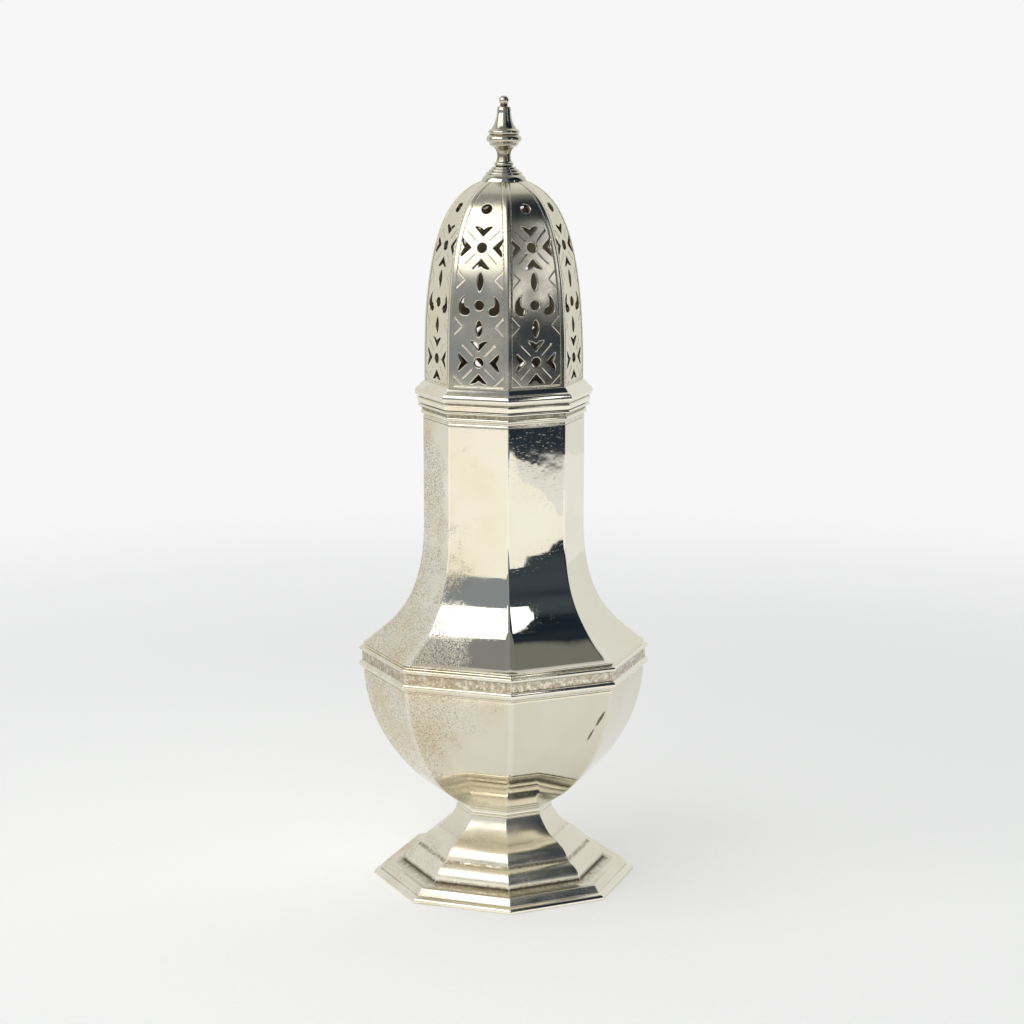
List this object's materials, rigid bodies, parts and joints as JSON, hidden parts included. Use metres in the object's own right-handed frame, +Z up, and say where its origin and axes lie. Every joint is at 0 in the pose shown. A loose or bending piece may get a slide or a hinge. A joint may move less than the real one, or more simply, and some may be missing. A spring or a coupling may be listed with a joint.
{
  "type": "sugar caster",
  "caption": "Octagonal silver sugar caster: footed vase body with a beaded girdle and a lift-off pierced dome cover with a turned finial.",
  "frame": {"origin": "centre of the foot, on the surface it stands on", "axes": "+Z up along the caster's axis; a corner of the octagon faces -Y, another +X"},
  "size_m": [0.067, 0.067, 0.18],
  "materials": {
    "body_silver": "polished sterling silver, warm, lightly tarnished and pitted",
    "foot_silver": "bright polished silver with dull toning in the cove",
    "moulding_silver": "polished silver with brown tarnish in the channels",
    "dome_silver": "polished silver, pierced and engraved",
    "sleeve_silver": "plain drawn silver sleeve, rubbed dull by sliding",
    "finial_silver": "turned and polished cast silver, dark in the grooves"
  },
  "bodies": {
    "caster_body": {"foot_rim": "moulding_silver", "foot": "foot_silver", "stem_collar": "body_silver", "bowl": "body_silver", "girdle_moulding": "moulding_silver", "upper_body": "body_silver", "neck_moulding": "moulding_silver"},
    "cover": {"cover_moulding": "moulding_silver", "cover_sleeve": "sleeve_silver", "pierced_dome": "dome_silver", "finial_collar": "finial_silver", "finial": "finial_silver"}
  },
  "joints": [
    {"name": "cover_lift", "type": "slide", "parent": "caster_body", "child": "cover", "axis": [0, 0, 1], "range_m": [0, 0.04]}
  ]
}
